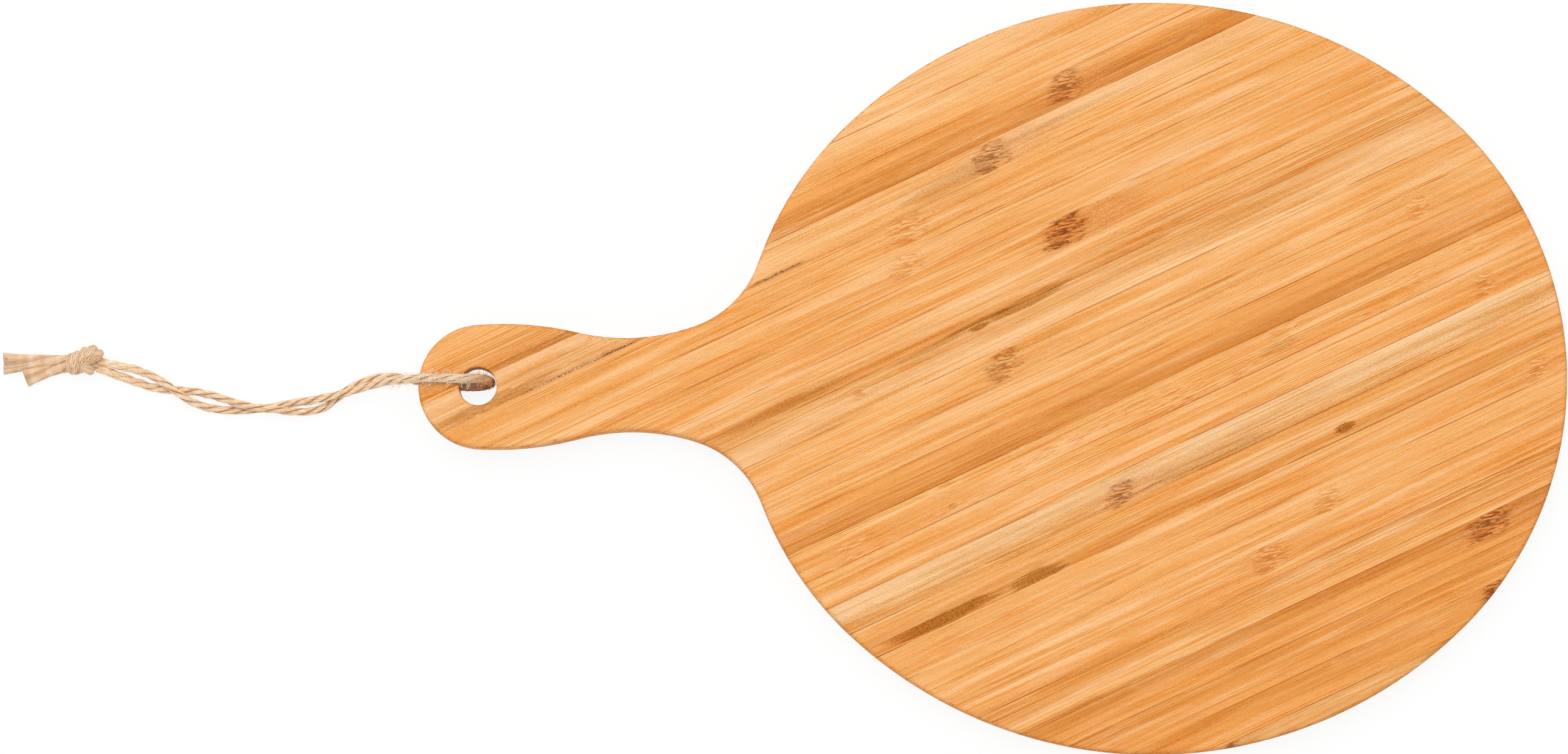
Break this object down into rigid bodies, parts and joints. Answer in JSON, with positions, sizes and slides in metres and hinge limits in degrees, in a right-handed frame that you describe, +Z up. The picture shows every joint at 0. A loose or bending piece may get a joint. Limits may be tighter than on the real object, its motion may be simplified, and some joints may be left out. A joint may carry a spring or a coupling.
{
  "type": "cutting board",
  "caption": "Oval bamboo cutting board of glued diagonal strips with a waisted handle and a knotted jute hanging loop.",
  "frame": {"origin": "centre of the oval blade, on the board's flat underside", "axes": "+X away from the handle along the board's long axis, +Z up out of the cutting face, +Y across the board"},
  "size_m": [0.5005, 0.24, 0.0176],
  "materials": {
    "bamboo_pale": "pale creamy bamboo, fine fibre lines, dry satin",
    "bamboo_light": "light tan bamboo, fine fibre lines, dry satin",
    "bamboo_mid": "mid tan bamboo, fibre lines, dry satin",
    "bamboo_orange": "orange tan bamboo, dense fibre lines, dry satin",
    "bamboo_caramel": "caramel brown bamboo, fibre lines, dry satin",
    "jute": "hairy three-ply jute twine, matte"
  },
  "bodies": {
    "board": {"blade_strip_01": "bamboo_mid", "blade_strip_02": "bamboo_mid", "blade_strip_03": "bamboo_caramel", "blade_strip_04": "bamboo_pale", "blade_strip_05": "bamboo_mid", "blade_strip_06": "bamboo_light", "blade_strip_07": "bamboo_mid", "blade_strip_08": "bamboo_orange", "blade_strip_09": "bamboo_pale", "blade_strip_10": "bamboo_mid", "blade_strip_11": "bamboo_light", "blade_strip_12": "bamboo_caramel", "blade_strip_13": "bamboo_orange", "blade_strip_14": "bamboo_orange", "blade_strip_15": "bamboo_pale", "blade_strip_16": "bamboo_orange", "blade_strip_17": "bamboo_light", "blade_strip_18": "bamboo_pale", "blade_strip_19": "bamboo_orange", "blade_strip_20": "bamboo_pale", "blade_strip_21": "bamboo_caramel", "blade_strip_22": "bamboo_orange", "blade_strip_23": "bamboo_mid", "blade_strip_24": "bamboo_mid", "handle_strip_01": "bamboo_mid", "handle_strip_02": "bamboo_caramel", "handle_strip_03": "bamboo_pale"},
    "hanging_loop": {"loop_upper_leg": "jute", "loop_under_leg": "jute", "loop_knot": "jute", "loop_long_tail": "jute", "loop_short_tail": "jute"}
  },
  "joints": [
    {"name": "loop_swing", "type": "hinge", "parent": "board", "child": "hanging_loop", "pos_m": [-0.215, 0, 0.005], "axis": [0, 0, 1], "range_deg": [-75, 75]}
  ]
}
